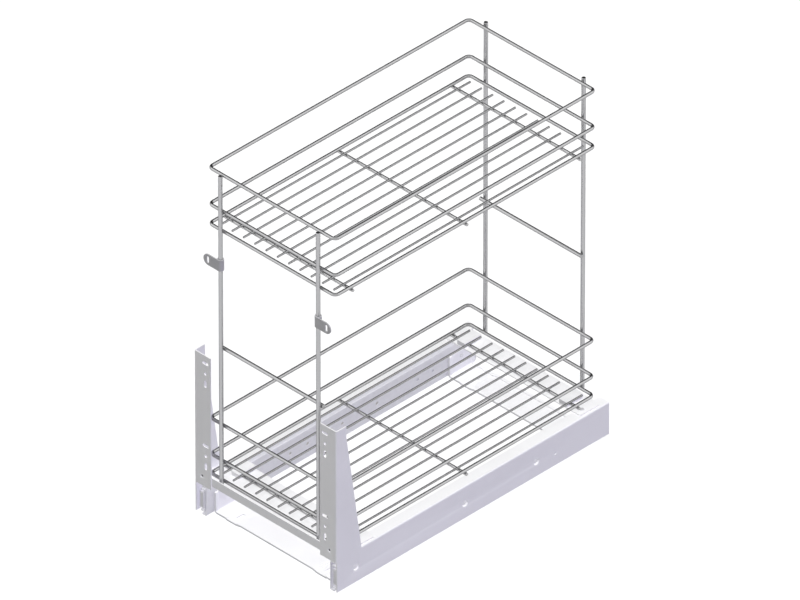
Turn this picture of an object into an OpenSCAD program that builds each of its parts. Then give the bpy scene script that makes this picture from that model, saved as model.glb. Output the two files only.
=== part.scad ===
// Pull-out cabinet basket: a two-tier wire basket on a low carriage that runs
// out of a base cabinet on a pair of full-extension ball runners.
// Millimetres. +X right, +Y towards the back of the cabinet, +Z up.
// The origin is on the cabinet floor, under the middle of the closed unit.

/* [Overall] */
// Width over the two side panels
unit_w = 261.4; // [240:0.1:300]
// Depth from the front faces of the uprights to the back of the side panels
unit_d = 503.6; // [480:0.1:560]

/* [Side panels] */
// Thickness of the pressed sheet parts
sheet_t = 1.5; // [1.2:0.1:2]
// Gap between the cabinet floor and the lower edge of a side panel
floor_gap = 6.7; // [5:0.1:12]
// Height of a side panel
panel_h = 50.8; // [46:0.1:60]
// Width of the flange folded in along the top of a side panel
flange_w = 17.7; // [16:0.1:20]
// Outer radius of the folds in the side panels and the front cross member
fold_r = 2.2; // [1.8:0.1:4]
// How far the lower front edge of a side panel is set back from the uprights
panel_setback = 1.3; // [0.5:0.1:4.5]
// Radius on the back end of the flange
flange_end_r = 6; // [2:0.5:8]
// Distance from the front of the unit to the spare hole in a side panel
panel_hole_y = 403.7; // [390:0.1:430]
// Radius of the spare hole in a side panel
panel_hole_r = 2; // [1.5:0.1:3]

/* [Uprights] */
// Width of the front face of an upright
upright_w = 30; // [28:0.5:36]
// Height of the uprights above the side panels
upright_h = 205.7; // [190:0.1:230]
// How far the front faces run down below the top of the side panels
upright_drop = 4; // [2:0.5:6]
// Depth of the gusset at its top
gusset_top_d = 18.6; // [12:0.1:24]
// Height of the square part at the top of the gusset
gusset_square_h = 16.5; // [10:0.5:24]
// Depth of the gusset where it meets the top of the side panel
gusset_foot_d = 46; // [36:0.1:60]
// Distance from the outside of a side panel to the middle of the door holes
door_hole_inset = 20.7; // [17:0.1:23]
// Distance from the top of an upright to its upper round door hole
door_hole_drop = 28.5; // [25:0.5:36]
// Distance between the upper and the lower round door holes
door_hole_pitch = 131.6; // [100:0.1:136]
// Distance from a round door hole to the slot above it and the slot below it
door_slot_offset = 16.5; // [13:0.1:18]
// Radius of the round door holes
door_hole_r = 2.2; // [1.8:0.1:3]
// Width of the door slots
door_slot_w = 4.5; // [4:0.1:6]
// Length of the door slots over their round ends
door_slot_l = 11; // [8:0.5:13]

/* [Baskets] */
// Gap from the outside of a side panel to the centre line of the basket wires
basket_side_gap = 15.4; // [14:0.1:20]
// Gap from the front and back of the unit to the centre line of the basket wires
basket_end_gap = 14; // [11.5:0.1:16]
// Diameter of the wire loops round a basket
loop_d = 4.7; // [3.5:0.1:5.4]
// Corner radius of the loops on their centre line
loop_r = 6.5; // [5:0.5:20]
// Height of the middle loop above the bottom loop
middle_loop_rise = 31; // [20:0.5:40]
// Height of the top loop above the middle loop
top_loop_rise = 57.5; // [40:0.1:80]
// Height of the upper basket above the lower one
basket_pitch = 397.2; // [340:0.1:440]
// Number of lengthwise floor wires in a basket
floor_wire_n = 11; // [9:2:13]
// Diameter of the floor wires
floor_wire_d = 3; // [2:0.1:3.4]
// Distance from the side of the bottom loop to the first floor wire
floor_wire_inset = 11.8; // [9:0.1:12]
// Distance from the end of the bottom loop to the end of a floor wire
floor_wire_gap = 9; // [6:0.5:14]
// Diameter of the cross wires under the floor
cross_wire_d = 4.5; // [3.5:0.1:5.5]
// Distance from the end of the bottom loop to the first cross wire
cross_wire_inset = 29.4; // [28.6:0.1:36]
// How far the cross wires run on past the centre line of the bottom loop
cross_wire_overrun = 3.7; // [2.5:0.1:5]

/* [Posts] */
// Diameter of the posts
post_d = 5.9; // [4.5:0.1:6.4]
// Diameter of the two cross rods
rod_d = 5.2; // [4:0.1:6]
// Distance from the side of the loops to the middle of a post
post_inset = 25.8; // [22:0.1:30]
// How far the back posts stand above the top loop's centre line
back_post_overrun = 5.2; // [3:0.1:10]
// How far the front posts stand above the top loop's centre line
front_post_overrun = 1.2; // [0:0.1:3]
// How far the posts run on below the bottom loop's centre line
post_foot = 3.6; // [2.2:0.1:4]
// Height of the cross rods above the top loop of the lower basket
rod_rise = 123.1; // [80:0.1:180]
// How far a cross rod runs on past the middle of a post
rod_overrun = 4.5; // [3:0.5:8]

/* [Door tabs] */
// Distance from the bottom loop of the upper basket down to the middle of a tab
tab_drop = 49.5; // [30:0.5:140]
// Height of a door tab
tab_h = 17; // [14:0.5:22]
// Length of a door tab outwards from the middle of its post
tab_l = 27.1; // [26:0.1:34]
// Thickness of a door tab
tab_t = 1.6; // [1.2:0.1:2]
// Wall of the ring that grips the post
tab_ring_wall = 1.7; // [1.5:0.1:2.2]
// Distance from the post to the middle of the slot in a tab
tab_slot_x = 19.1; // [15:0.1:20]
// Width of the slot in a tab
tab_slot_w = 4.2; // [3.6:0.1:5]
// Length of the slot in a tab
tab_slot_l = 10.5; // [8:0.5:12]

/* [Cross members] */
// Height of the lip along the front cross member, over its shelf
lip_h = 13; // [12:0.5:16]
// Distance from the end of a cross member to the outside of the side panel
member_end_gap = 3.7; // [3.5:0.1:6]
// Corner radius at the ends of the cross members
member_r = 4; // [2:0.5:6]
// How far the front cross member runs on behind its clips
shelf_margin = 1.4; // [0.5:0.1:4]
// How far the ends of the front cross member run on behind its middle
shelf_ear_l = 5; // [4.5:0.1:9]
// How far the back plate starts in front of its clips
plate_lead = 0.6; // [0.2:0.1:2]
// How far the back plate runs on behind its clips
plate_margin = 5.9; // [2:0.1:8]

/* [Clips] */
// Width of a clip
clip_w = 15.4; // [12:0.2:16]
// Length of a clip, front to back
clip_l = 31; // [24:0.5:31.5]
// Distance from the post's centre line outwards to the middle of a clip
clip_offset = 4.5; // [4:0.1:4.6]
// Distance from the front of a clip to the middle of the wire that it holds
clip_lead = 6; // [5:0.5:8]
// Wall of the clip under and over the wire
clip_wall = 1.3; // [1:0.1:2]
// Radius of the upright edges of a clip
clip_r = 1.5; // [0.5:0.1:3]

/* [Runners] */
// Length of a cabinet rail
rail_l = 498; // [460:1:498]
// Distance from the front of the uprights to the front of the rails
rail_setback = 5; // [3:0.5:5]
// Height of a runner
rail_h = 45.5; // [45:0.1:47]
// Thickness of a runner
rail_t = 12.7; // [12.7:0.1:14]
// Gap between the cabinet floor and the runners
rail_floor_gap = 2.4; // [1.2:0.1:3]
// Gap between a carriage rail and the side panel, which the recesses bridge
rail_standoff = 2.3; // [1.8:0.1:3]
// Thickness of the rails' steel
rail_wall = 1.2; // [1:0.05:1.25]
// Diameter of the bearing balls
ball_d = 3.2; // [3:0.1:3.3]
// Number of balls in each row
ball_n = 8; // [5:1:8]
// Distance between the balls in a row
ball_pitch = 28; // [20:1:30]
// Length of a ball cage
cage_l = 226; // [222:1:230]
// Length of the buffer in the back end of each cabinet rail
buffer_l = 10; // [8:0.5:14]
// Distances of the spare holes in a cabinet rail from its front
rail_hole_ys = [90, 154, 186, 250, 314, 389, 417];
// Radius of the spare holes in a cabinet rail
rail_hole_r = 2.3; // [1.8:0.1:3]
// Length of the stop in the front end of each carriage rail
front_stop_l = 9; // [6:0.5:20]

/* [Base plates] */
// Length of a base plate, front to back
base_plate_l = 47; // [40:0.5:52]
// Distance from the front of the rails to the front base plate
base_front_inset = 14.3; // [10:0.1:30]
// Distance from the back base plate to the back of the rails
base_back_inset = 5.2; // [2:0.1:12]
// Height of the turned-up ends of a base plate above the cabinet floor
base_flange_h = 33.7; // [31:0.1:40]
// Width of the folded hems along the long edges of a base plate
hem_w = 5; // [3:0.5:7]
// Distance from the middle of the unit to the middle of a foot
foot_x = 82.5; // [80:0.5:90]
// Width of a foot
foot_w = 19; // [14:0.5:22]
// Height of the steps pressed into a base plate
foot_step = 1; // [0.6:0.1:1.4]
// Distance from the middle of the unit to the step beside each foot
crown_x = 67.4; // [60:0.1:68]
// Width of the screw slots in the feet
floor_slot_w = 6; // [5:0.1:7]
// Length of the screw slots in the feet over their round ends
floor_slot_l = 15; // [10:0.5:18]
// Distance from the front edge of a base plate to the middle of its slots
floor_slot_inset = 17; // [15:0.5:20]

/* [Fasteners] */
// Radius of the rivet shanks
rivet_r = 2; // [1.6:0.1:2.2]
// Radius of the rivet heads
rivet_head_r = 3.4; // [3:0.1:3.6]
// Thickness of the rivet heads
rivet_head_h = 1; // [0.8:0.1:1.1]
// Distance from the outside of a side panel to the rivets in its upright
lip_rivet_inset = 13.3; // [10:0.1:16]
// Height of the rivets in the uprights above the shelf of the cross member
lip_rivet_rise = 9.4; // [7:0.1:9.6]
// Distance from the outside of a side panel to the rivets in the back plate
plate_rivet_inset = 12.2; // [9:0.1:12.5]
// Distance from the front edge of the back plate to its rivets
plate_rivet_y = 11.5; // [8:0.5:16]
// Distances of the carriage rail fixings from the front of the unit
rail_fixing_ys = [36.3, 236.8, 368.8];
// Height of the carriage rail fixings above the middle of the runners
rail_fixing_rise = 4.9; // [0:0.1:6]
// Radius of the round recess at each carriage rail fixing
recess_r = 5.6; // [5.4:0.1:6]

/* [Hidden] */
$fn = 48;
// Clearance between pieces that are fitted or welded together
fit = 0.05;
// Clearance between pieces that move past each other
run = 0.3;
// Overlap of a cutting shape past the face that it cuts
cut = 1;

// Places across the unit
half_w = unit_w / 2;
panel_in = half_w - sheet_t;
rail_out = panel_in - rail_standoff;
rail_in = rail_out - rail_t;
loop_half_w = half_w - basket_side_gap;
post_x = loop_half_w - post_inset;
clip_x = post_x + clip_offset;
member_half_w = half_w - member_end_gap;
flange_in = half_w - flange_w;
upright_in = half_w - upright_w;
door_hole_x = half_w - door_hole_inset;
lip_rivet_x = half_w - lip_rivet_inset;
plate_rivet_x = half_w - plate_rivet_inset;
shelf_ear_x = clip_x - 2;

// Places from front to back
front = -unit_d / 2;
back = unit_d / 2;
loop_half_l = unit_d / 2 - basket_end_gap;
cross_wire_y = loop_half_l - cross_wire_inset;
post_y = loop_half_l + (loop_d + post_d) / 2 + fit;
rod_y0 = post_y - (post_d + rod_d) / 2 - fit;
lip_front = front + sheet_t + fit;
front_clip_y = -cross_wire_y - clip_lead;
back_clip_y = cross_wire_y - clip_lead;
shelf_back = front_clip_y + clip_l + shelf_margin;
plate_front = back_clip_y - plate_lead;
plate_back = back_clip_y + clip_l + plate_margin;
rail_front = front + rail_setback;
rail_back = rail_front + rail_l;
moving_rail_l = rail_l - buffer_l - run;
base_front_y = rail_front + base_front_inset;
base_back_y = rail_back - base_back_inset - base_plate_l;

// Heights above the cabinet floor
panel_top = floor_gap + panel_h;
member_top = panel_top + sheet_t;
cross_z = member_top + clip_wall + fit + cross_wire_d / 2;
clip_top = cross_z + cross_wire_d / 2 + fit + clip_wall;
bottom_loop_z = cross_z + (cross_wire_d + loop_d) / 2 + fit;
floor_wire_z = cross_z + (cross_wire_d + floor_wire_d) / 2 + fit;
top_loop_z = bottom_loop_z + middle_loop_rise + top_loop_rise;
upright_top = panel_top + upright_h;
upright_foot = panel_top - upright_drop;
upper_round_z = upright_top - door_hole_drop;
rod_z = top_loop_z + rod_rise;
tab_z = bottom_loop_z + basket_pitch - tab_drop;
lip_rivet_z = member_top + lip_rivet_rise;
floor_pitch = 2 * (loop_half_w - floor_wire_inset) / (floor_wire_n - 1);

// Section of a runner: depths run outwards from the inner face of the cabinet
// rail, heights run up and down from the middle of the runner
rail_z = rail_floor_gap + rail_h / 2;
track_h = rail_h / 2;
outer_ball_h = track_h - rail_wall - run - ball_d / 2;
middle_h = outer_ball_h - ball_d / 2 - run;
inner_ball_h = middle_h - rail_wall - run - ball_d / 2;
carriage_h = inner_ball_h - ball_d / 2 - run;
cage_t = 0.8;
cage_gap = 0.4;
cage_rim = 0.8;
ball_seat = 0.15;
rail_lip = 1.2;
outer_cage_x = rail_wall + cage_gap;
middle_x = outer_cage_x + cage_t + cage_gap;
outer_ball_x = outer_cage_x + cage_t + ball_seat + ball_d / 2;
cabinet_d = outer_ball_x + ball_d / 2 + cage_gap + rail_wall;
inner_cage_x = middle_x + rail_wall + cage_gap;
carriage_in = inner_cage_x + cage_t + cage_gap;
inner_ball_x = carriage_in + ball_seat + ball_d / 2;
middle_d = inner_ball_x + ball_d / 2 + cage_gap + rail_wall - middle_x;
rail_fixing_z = rail_z + rail_fixing_rise;

// ---- Helpers ----------------------------------------------------------------

// Keeps the right-hand piece, or turns it into the left-hand one
module side(s) {
    if (s < 0)
        mirror([1, 0, 0]) children();
    else
        children();
}

// Extrudes a section drawn in X and Z along Y, from y0 to y1
module along_y(y0, y1) {
    translate([0, y1, 0])
        rotate([90, 0, 0])
            linear_extrude(y1 - y0)
                children();
}

// Extrudes a section drawn in Y and Z along X, from x0 to x1
module along_x(x0, x1) {
    translate([x0, 0, 0])
        rotate([90, 0, 90])
            linear_extrude(x1 - x0)
                children();
}

// Rod along X from x0 to x1
module rod_x(x0, x1, r) {
    translate([x0, 0, 0])
        rotate([0, 90, 0])
            cylinder(h = x1 - x0, r = r);
}

// Rod along Y from y0 to y1
module rod_y(y0, y1, r) {
    translate([0, y0, 0])
        rotate([-90, 0, 0])
            cylinder(h = y1 - y0, r = r);
}

// Cone along X, with radius r0 at x0 and r1 at x1
module cone_x(x0, x1, r0, r1) {
    translate([x0, 0, 0])
        rotate([0, 90, 0])
            cylinder(h = x1 - x0, r1 = r0, r2 = r1);
}

// Flat oval of length l over its ends and width w, lying along X
module oval(l, w) {
    square([l - w, w], center = true);
    for (s = [-1, 1])
        translate([s * (l - w) / 2, 0])
            circle(d = w);
}

// What the rounding of a corner takes off: the corner is at the origin and the
// piece lies towards -X and -Y
module corner_waste(r) {
    difference() {
        translate([-r, -r])
            square(r + cut);
        translate([-r, -r])
            circle(r);
    }
}

// Folded sheet in section: the outside of the fold is at the origin, one leg
// runs w towards -X and the other runs h towards -Y
module fold(w, h) {
    difference() {
        union() {
            translate([-w, -sheet_t])
                square([w - fold_r, sheet_t]);
            translate([-sheet_t, -h])
                square([sheet_t, h - fold_r]);
            intersection() {
                translate([-fold_r, -fold_r])
                    circle(fold_r);
                translate([-fold_r, -fold_r])
                    square(fold_r);
            }
        }
        translate([-fold_r, -fold_r])
            circle(fold_r - sheet_t);
    }
}

// Channel in section, open towards +X: back at 0, half height h, depth d, and
// lips turned in at the open side
module channel(h, d, lip) {
    ease = 1;
    back_edge = [[0, h - ease], [ease, h], [d, h]];
    open_edge = lip > 0
        ? [[d, h - rail_wall - lip], [d - rail_wall, h - rail_wall - lip],
           [d - rail_wall, h - rail_wall]]
        : [[d, h - rail_wall]];
    upper = concat(back_edge, open_edge, [[rail_wall, h - rail_wall]]);
    last = len(upper) - 1;
    lower = [for (i = [last : -1 : 0]) [upper[i][0], -upper[i][1]]];
    polygon(concat(upper, lower));
}

// Rivet along Z: what it holds lies between 0 and -grip
module rivet(grip) {
    tail_r = rivet_head_r - 0.5;
    taper = 0.7;
    translate([0, 0, fit])
        cylinder(h = rivet_head_h, r1 = rivet_head_r, r2 = rivet_head_r - taper);
    translate([0, 0, -grip - fit - rivet_head_h / 2])
        cylinder(h = grip + 2 * fit + rivet_head_h, r = rivet_r);
    translate([0, 0, -grip - fit - rivet_head_h])
        cylinder(h = rivet_head_h, r = tail_r);
}

// ---- Base: two alike pressed plates and the rails fixed to them ---------------

// Right half of the pressed section of a base plate of thickness t
module base_section(t) {
    ease = 0.4 * t;
    bend = 2.5;
    foot_in = foot_x - foot_w / 2;
    foot_out = foot_x + foot_w / 2;
    crown = 2 * foot_step;
    polygon([
        [0, crown],
        [crown_x, crown],
        [crown_x + foot_step, foot_step],
        [foot_in - foot_step, foot_step],
        [foot_in, 0],
        [foot_out, 0],
        [foot_out + foot_step, foot_step],
        [rail_in - bend, foot_step],
        [rail_in, foot_step + bend],
        [rail_in, base_flange_h],
        [rail_in - t, base_flange_h],
        [rail_in - t, foot_step + bend + ease],
        [rail_in - bend - ease, foot_step + t],
        [foot_out + foot_step - ease, foot_step + t],
        [foot_out - ease, t],
        [foot_in + ease, t],
        [foot_in - foot_step + ease, foot_step + t],
        [crown_x + foot_step + ease, foot_step + t],
        [crown_x + ease, crown + t],
        [0, crown + t]
    ]);
}

// A base plate whose front edge is at y0
module base_plate(y0) {
    difference() {
        for (s = [-1, 1])
            side(s) {
                along_y(y0, y0 + base_plate_l)
                    base_section(sheet_t);
                along_y(y0, y0 + hem_w)
                    base_section(2 * sheet_t);
                along_y(y0 + base_plate_l - hem_w, y0 + base_plate_l)
                    base_section(2 * sheet_t);
            }
        for (s = [-1, 1]) {
            translate([s * foot_x, y0 + floor_slot_inset, -cut])
                rotate([0, 0, 90])
                    linear_extrude(2 * sheet_t + 2 * cut)
                        oval(floor_slot_l, floor_slot_w);
            side(s)
                translate([0, y0 + base_plate_l / 2, rail_z])
                    rod_x(rail_in - 2 * sheet_t - cut, rail_in + cut,
                          rivet_r + fit);
        }
    }
}

module base_front_plate() {
    color("gainsboro")
        base_plate(base_front_y);
}

module base_back_plate() {
    color("gainsboro")
        base_plate(base_back_y);
}

// Middles of the two base plates, where the rails are riveted on
rail_rivet_ys = [base_front_y + base_plate_l / 2, base_back_y + base_plate_l / 2];

module cabinet_rail(s) {
    color("lightsteelblue")
        side(s)
            difference() {
                translate([rail_in, 0, rail_z])
                    along_y(rail_front, rail_back)
                        channel(track_h, cabinet_d, rail_lip);
                for (y = rail_rivet_ys)
                    translate([0, y, rail_z])
                        rod_x(rail_in - cut, rail_in + rail_wall + cut,
                              rivet_r + fit);
                for (y = rail_hole_ys)
                    translate([0, rail_front + y, rail_z])
                        rod_x(rail_in - cut, rail_in + rail_wall + cut,
                              rail_hole_r);
            }
}

module left_cabinet_rail() {
    cabinet_rail(-1);
}

module right_cabinet_rail() {
    cabinet_rail(1);
}

module cabinet_rail_rivets() {
    head_x = rail_in - sheet_t - fit;
    taper = 0.7;
    color("silver")
        for (s = [-1, 1], y = rail_rivet_ys)
            side(s)
                translate([0, y, rail_z]) {
                    cone_x(head_x - rivet_head_h, head_x,
                           rivet_head_r - taper, rivet_head_r);
                    rod_x(head_x - rivet_head_h / 2, rail_in + rail_wall,
                          rivet_r);
                }
}

module rail_buffer(s) {
    buffer_h = track_h - rail_wall - rail_lip - fit;
    color("dimgray")
        side(s)
            translate([rail_in + rail_wall + fit, rail_back - buffer_l,
                       rail_z - buffer_h])
                cube([middle_x + middle_d - rail_wall, buffer_l, 2 * buffer_h]);
}

module left_rail_buffer() {
    rail_buffer(-1);
}

module right_rail_buffer() {
    rail_buffer(1);
}

// ---- Inside the runners --------------------------------------------------------

module middle_rail(s) {
    color("slategray")
        side(s)
            translate([rail_in + middle_x, 0, rail_z])
                along_y(rail_front, rail_front + moving_rail_l)
                    channel(middle_h, middle_d, rail_lip);
}

module left_middle_rail() {
    middle_rail(-1);
}

module right_middle_rail() {
    middle_rail(1);
}

// Places of the balls along a row, and the front end of the cages
ball_mid = rail_front + moving_rail_l / 2;
cage_front = ball_mid - cage_l / 2;
ball_ys = [for (i = [0 : ball_n - 1]) ball_mid + (i - (ball_n - 1) / 2) * ball_pitch];

// Strip at depth x0 that holds two rows of balls at depth bx and height bh
module ball_cage(x0, bx, bh) {
    color("goldenrod")
        translate([rail_in, 0, rail_z])
            difference() {
                union() {
                    translate([x0, cage_front, -bh - cage_t / 2])
                        cube([cage_t, cage_l, 2 * bh + cage_t]);
                    for (t = [-1, 1])
                        translate([x0, cage_front, t * bh - cage_t / 2])
                            cube([bx + ball_d / 2 + cage_rim - x0, cage_l, cage_t]);
                }
                for (y = ball_ys, t = [-1, 1])
                    translate([bx, y, t * bh - cage_t])
                        cylinder(h = 2 * cage_t, r = ball_d / 2 + ball_seat);
            }
}

// Two rows of balls at depth bx and height bh
module ball_rows(bx, bh) {
    color("white")
        translate([rail_in, 0, rail_z])
            for (y = ball_ys, t = [-1, 1])
                translate([bx, y, t * bh])
                    sphere(d = ball_d);
}

module left_outer_cage() {
    side(-1) ball_cage(outer_cage_x, outer_ball_x, outer_ball_h);
}

module right_outer_cage() {
    side(1) ball_cage(outer_cage_x, outer_ball_x, outer_ball_h);
}

module left_outer_balls() {
    side(-1) ball_rows(outer_ball_x, outer_ball_h);
}

module right_outer_balls() {
    side(1) ball_rows(outer_ball_x, outer_ball_h);
}

module left_inner_cage() {
    side(-1) ball_cage(inner_cage_x, inner_ball_x, inner_ball_h);
}

module right_inner_cage() {
    side(1) ball_cage(inner_cage_x, inner_ball_x, inner_ball_h);
}

module left_inner_balls() {
    side(-1) ball_rows(inner_ball_x, inner_ball_h);
}

module right_inner_balls() {
    side(1) ball_rows(inner_ball_x, inner_ball_h);
}

// ---- Carriage: rails, side panels and cross members ------------------------------

module carriage_rail(s) {
    color("lightsteelblue")
        side(s)
            difference() {
                translate([rail_out, 0, rail_z])
                    mirror([1, 0, 0])
                        along_y(rail_front, rail_front + moving_rail_l)
                            channel(carriage_h, rail_t - carriage_in, 0);
                for (y = rail_fixing_ys)
                    translate([0, front + y, rail_fixing_z])
                        rod_x(rail_out - rail_wall - cut, rail_out + cut,
                              rivet_r + fit);
            }
}

module left_carriage_rail() {
    carriage_rail(-1);
}

module right_carriage_rail() {
    carriage_rail(1);
}

// Moulded stop that fills the front end of a carriage rail's channel
module front_stop(s) {
    stop_h = carriage_h - rail_wall - fit;
    stop_in = rail_in + carriage_in;
    color("silver")
        side(s)
            translate([stop_in, rail_front, rail_z - stop_h])
                cube([rail_out - rail_wall - fit - stop_in, front_stop_l,
                      2 * stop_h]);
}

module left_front_stop() {
    front_stop(-1);
}

module right_front_stop() {
    front_stop(1);
}

// The upright and its gusset, before the door holes are cut
module upright_body() {
    intersection() {
        translate([half_w, front, upright_foot])
            linear_extrude(upright_top - upright_foot)
                mirror([0, 1])
                    fold(upright_w, gusset_foot_d);
        along_x(upright_in - cut, half_w + cut)
            polygon([
                [front - cut, upright_foot],
                [front + gusset_foot_d, upright_foot],
                [front + gusset_foot_d, panel_top],
                [front + gusset_top_d, upright_top - gusset_square_h],
                [front + gusset_top_d, upright_top],
                [front - cut, upright_top]
            ]);
    }
}

// One group of door holes round the height z of its round hole
module door_holes(z) {
    along_y(front - cut, front + sheet_t + cut) {
        translate([door_hole_x, z + door_slot_offset])
            oval(door_slot_l, door_slot_w);
        translate([door_hole_x, z])
            circle(door_hole_r);
        translate([door_hole_x, z - door_slot_offset])
            rotate(90)
                oval(door_slot_l, door_slot_w);
    }
}

module side_panel(s) {
    seat = rail_out + fit;
    floor_r = recess_r - 1.4;
    color("whitesmoke")
        side(s)
            difference() {
                union() {
                    translate([half_w, 0, panel_top])
                        along_y(front + panel_setback, back)
                            fold(flange_w, panel_h);
                    upright_body();
                    for (y = rail_fixing_ys)
                        translate([0, front + y, rail_fixing_z])
                            cone_x(seat, panel_in + sheet_t / 2,
                                   recess_r - 0.4, recess_r + 0.6);
                }
                for (y = rail_fixing_ys)
                    translate([0, front + y, rail_fixing_z]) {
                        cone_x(seat + sheet_t, half_w + sheet_t,
                               floor_r, recess_r + 0.5);
                        rod_x(seat - cut, half_w, rivet_r + fit);
                    }
                translate([flange_in, back, panel_top - 2 * sheet_t])
                    mirror([1, 0, 0])
                        linear_extrude(2 * sheet_t + cut)
                            corner_waste(flange_end_r);
                translate([plate_rivet_x, plate_front + plate_rivet_y,
                           panel_top - 2 * sheet_t])
                    cylinder(h = 3 * sheet_t, r = rivet_r + fit);
                translate([0, front + panel_hole_y, rail_z])
                    rod_x(panel_in - cut, half_w + cut, panel_hole_r);
                door_holes(upper_round_z);
                door_holes(upper_round_z - door_hole_pitch);
                translate([lip_rivet_x, 0, lip_rivet_z]) {
                    rod_y(front - cut, front + sheet_t + cut, rivet_r + fit);
                    translate([0, front, 0])
                        rotate([-90, 0, 0])
                            cylinder(h = 0.7 * sheet_t, r1 = rivet_head_r + fit,
                                     r2 = rivet_r + fit);
                }
            }
}

module left_side_panel() {
    side_panel(-1);
}

module right_side_panel() {
    side_panel(1);
}

module carriage_rail_rivets() {
    seat = rail_out + fit;
    color("silver")
        for (s = [-1, 1], y = rail_fixing_ys)
            side(s)
                translate([seat + sheet_t, front + y, rail_fixing_z])
                    rotate([0, 90, 0])
                        rivet(sheet_t + rail_wall + fit);
}

module front_cross_member() {
    color("gainsboro")
        difference() {
            along_x(-member_half_w, member_half_w)
                translate([lip_front, panel_top])
                    rotate(180)
                        fold(shelf_back + shelf_ear_l - lip_front, lip_h + sheet_t);
            translate([-shelf_ear_x, shelf_back, panel_top - cut])
                cube([2 * shelf_ear_x, shelf_ear_l + cut, sheet_t + 2 * cut]);
            for (s = [-1, 1])
                side(s) {
                    translate([member_half_w, shelf_back + shelf_ear_l,
                               panel_top - cut])
                        linear_extrude(sheet_t + 2 * cut)
                            corner_waste(member_r);
                    translate([lip_rivet_x, 0, lip_rivet_z])
                        rod_y(lip_front - cut, lip_front + sheet_t + cut,
                              rivet_r + fit);
                    translate([clip_x, front_clip_y + clip_l / 2, panel_top - cut])
                        cylinder(h = sheet_t + 2 * cut, r = rivet_r + fit);
                }
        }
}

module back_cross_plate() {
    color("gainsboro")
        difference() {
            translate([-member_half_w, plate_front, panel_top])
                cube([2 * member_half_w, plate_back - plate_front, sheet_t]);
            for (s = [-1, 1])
                side(s) {
                    translate([member_half_w, plate_back, panel_top - cut])
                        linear_extrude(sheet_t + 2 * cut)
                            corner_waste(member_r);
                    translate([member_half_w, plate_front, panel_top - cut])
                        linear_extrude(sheet_t + 2 * cut)
                            mirror([0, 1])
                                corner_waste(member_r);
                    translate([plate_rivet_x, plate_front + plate_rivet_y,
                               panel_top - cut])
                        cylinder(h = sheet_t + 2 * cut, r = rivet_r + fit);
                    translate([clip_x, back_clip_y + clip_l / 2, panel_top - cut])
                        cylinder(h = sheet_t + 2 * cut, r = rivet_r + fit);
                }
        }
}

// Countersunk rivets, flush with the front faces of the uprights
module upright_rivets() {
    tail_r = rivet_head_r - 0.5;
    color("silver")
        for (s = [-1, 1])
            side(s)
                translate([lip_rivet_x, front, lip_rivet_z]) {
                    rotate([-90, 0, 0])
                        cylinder(h = 0.7 * sheet_t, r1 = rivet_head_r,
                                 r2 = rivet_r);
                    rod_y(0.5 * sheet_t, 2 * sheet_t + 2 * fit + 0.2, rivet_r);
                    rod_y(2 * sheet_t + 2 * fit, 2 * sheet_t + 2 * fit + 0.8,
                          tail_r);
                }
}

module back_plate_rivets() {
    color("silver")
        for (s = [-1, 1])
            translate([s * plate_rivet_x, plate_front + plate_rivet_y, member_top])
                rivet(2 * sheet_t);
}

// ---- Clips between the cross members and the lower basket ------------------------

module clip(s, y0) {
    color("white")
        side(s)
            difference() {
                translate([clip_x - clip_w / 2, y0, member_top])
                    cube([clip_w, clip_l, clip_top - member_top]);
                for (a = [-1, 1], b = [0, 1])
                    translate([clip_x + a * clip_w / 2, y0 + b * clip_l,
                               member_top - cut])
                        linear_extrude(clip_top - member_top + 2 * cut)
                            mirror([a < 0 ? 1 : 0, 0])
                                mirror([0, b < 1 ? 1 : 0])
                                    corner_waste(clip_r);
                translate([0, y0 + clip_lead, cross_z])
                    rod_x(clip_x - clip_w, clip_x + clip_w, cross_wire_d / 2 + fit);
                translate([clip_x, y0 + clip_l / 2, member_top - cut])
                    cylinder(h = clip_hole_h + cut, r = rivet_r + fit);
            }
}

// Depth of the blind hole for the rivet in the underside of a clip
clip_hole_h = 4.5;

module front_left_clip() {
    clip(-1, front_clip_y);
}

module front_right_clip() {
    clip(1, front_clip_y);
}

module back_left_clip() {
    clip(-1, back_clip_y);
}

module back_right_clip() {
    clip(1, back_clip_y);
}

// Rivets up through the sheet into the clips
module clip_rivets() {
    taper = 0.7;
    color("silver")
        for (s = [-1, 1], y = [front_clip_y, back_clip_y])
            translate([s * clip_x, y + clip_l / 2, panel_top - fit]) {
                translate([0, 0, -rivet_head_h])
                    cylinder(h = rivet_head_h, r1 = rivet_head_r - taper,
                             r2 = rivet_head_r);
                translate([0, 0, -rivet_head_h / 2])
                    cylinder(h = rivet_head_h / 2 + sheet_t + clip_hole_h,
                             r = rivet_r);
            }
}

// ---- Posts and rods ----------------------------------------------------------------

module post(x, y, overrun) {
    z0 = bottom_loop_z - post_foot;
    color("silver")
        translate([x, y, z0])
            cylinder(h = top_loop_z + basket_pitch + overrun - z0, d = post_d);
}

module front_left_post() {
    post(-post_x, -post_y, front_post_overrun);
}

module front_right_post() {
    post(post_x, -post_y, front_post_overrun);
}

module back_left_post() {
    post(-post_x, post_y, back_post_overrun);
}

module back_right_post() {
    post(post_x, post_y, back_post_overrun);
}

module cross_rod(y) {
    color("silver")
        translate([0, y, rod_z])
            rod_x(-post_x - rod_overrun, post_x + rod_overrun, rod_d / 2);
}

module front_cross_rod() {
    cross_rod(-rod_y0);
}

module back_cross_rod() {
    cross_rod(rod_y0);
}

// ---- Baskets -------------------------------------------------------------------------

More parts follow.
